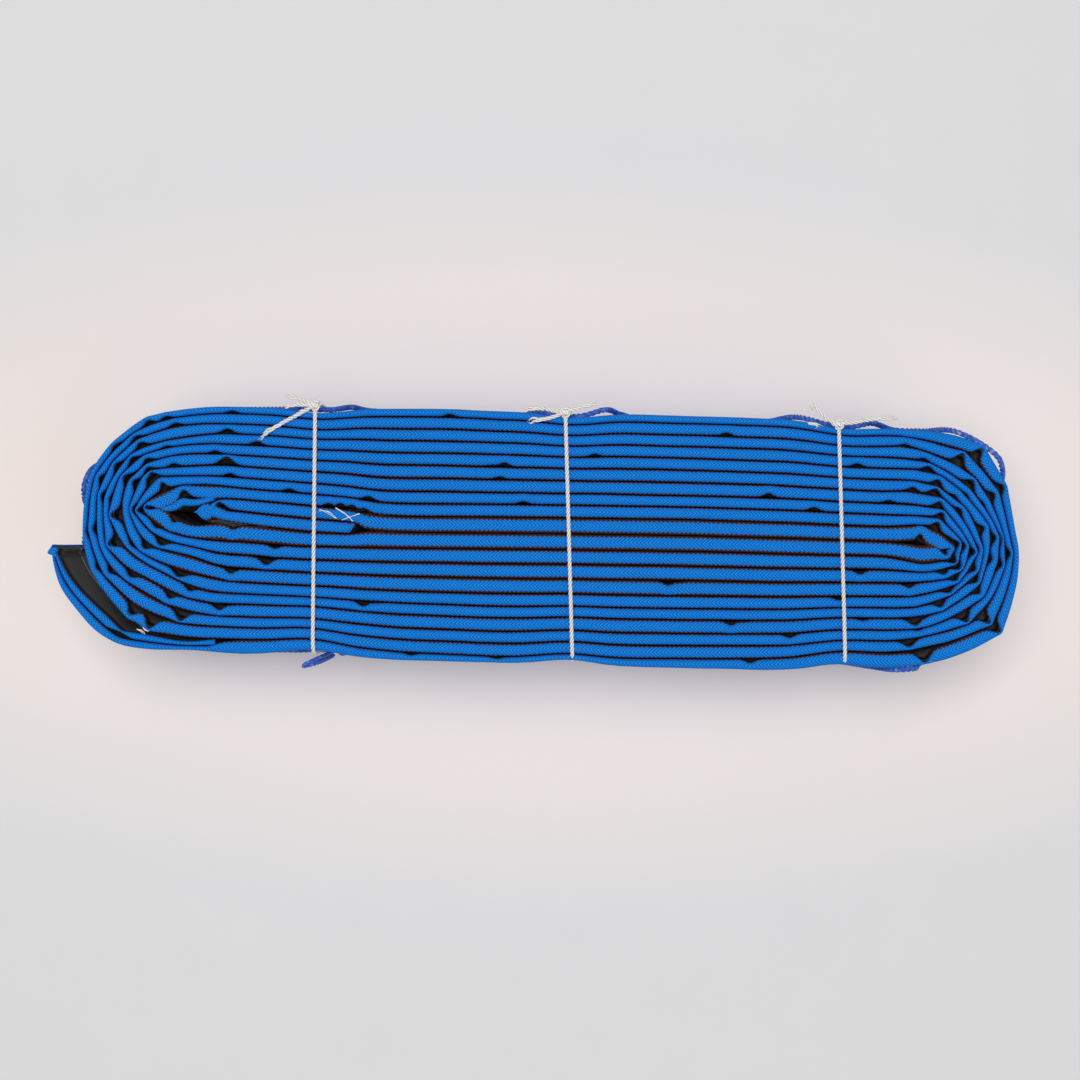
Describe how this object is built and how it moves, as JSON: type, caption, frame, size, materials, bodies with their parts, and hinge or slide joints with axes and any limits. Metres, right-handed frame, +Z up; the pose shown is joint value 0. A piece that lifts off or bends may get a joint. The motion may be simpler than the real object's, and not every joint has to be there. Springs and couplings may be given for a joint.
{
  "type": "rolled fire hose",
  "caption": "Flat woven fire hose wound into a long roll that lies on its edge, tied round with twine over a slack braided cord.",
  "frame": {"origin": "centre of the whole part's box, on the plane it lies on", "axes": "+X along the roll's long side, away from the loose outer end; +Y across the turns, to the knotted side; +Z up, along the hose's width"},
  "size_m": [0.4916, 0.1406, 0.1096],
  "materials": {
    "woven_jacket": "twill-woven polyester, faint sheen",
    "rubber_liner": "matt",
    "twine": "three-ply, matt",
    "braided_cord": "braided, slight sheen",
    "loose_yarn": "matt"
  },
  "bodies": {
    "root": {"hose_jacket": "woven_jacket", "hose_liner": "rubber_liner", "twine_left_loop": "twine", "twine_middle_loop": "twine", "twine_right_loop": "twine", "twine_left_knot": "twine", "twine_middle_knot": "twine", "twine_right_knot": "twine", "twine_left_long_tail": "twine", "twine_left_upper_tail": "twine", "twine_left_lower_tail": "twine", "twine_middle_long_tail": "twine", "twine_middle_short_tail": "twine", "twine_middle_right_tail": "twine", "twine_right_long_tail": "twine", "twine_right_left_tail": "twine", "twine_offcut": "twine", "lashing_cord": "braided_cord", "lashing_cord_bight": "braided_cord", "inner_end_yarns": "loose_yarn", "outer_end_yarns": "loose_yarn"}
  },
  "joints": []
}
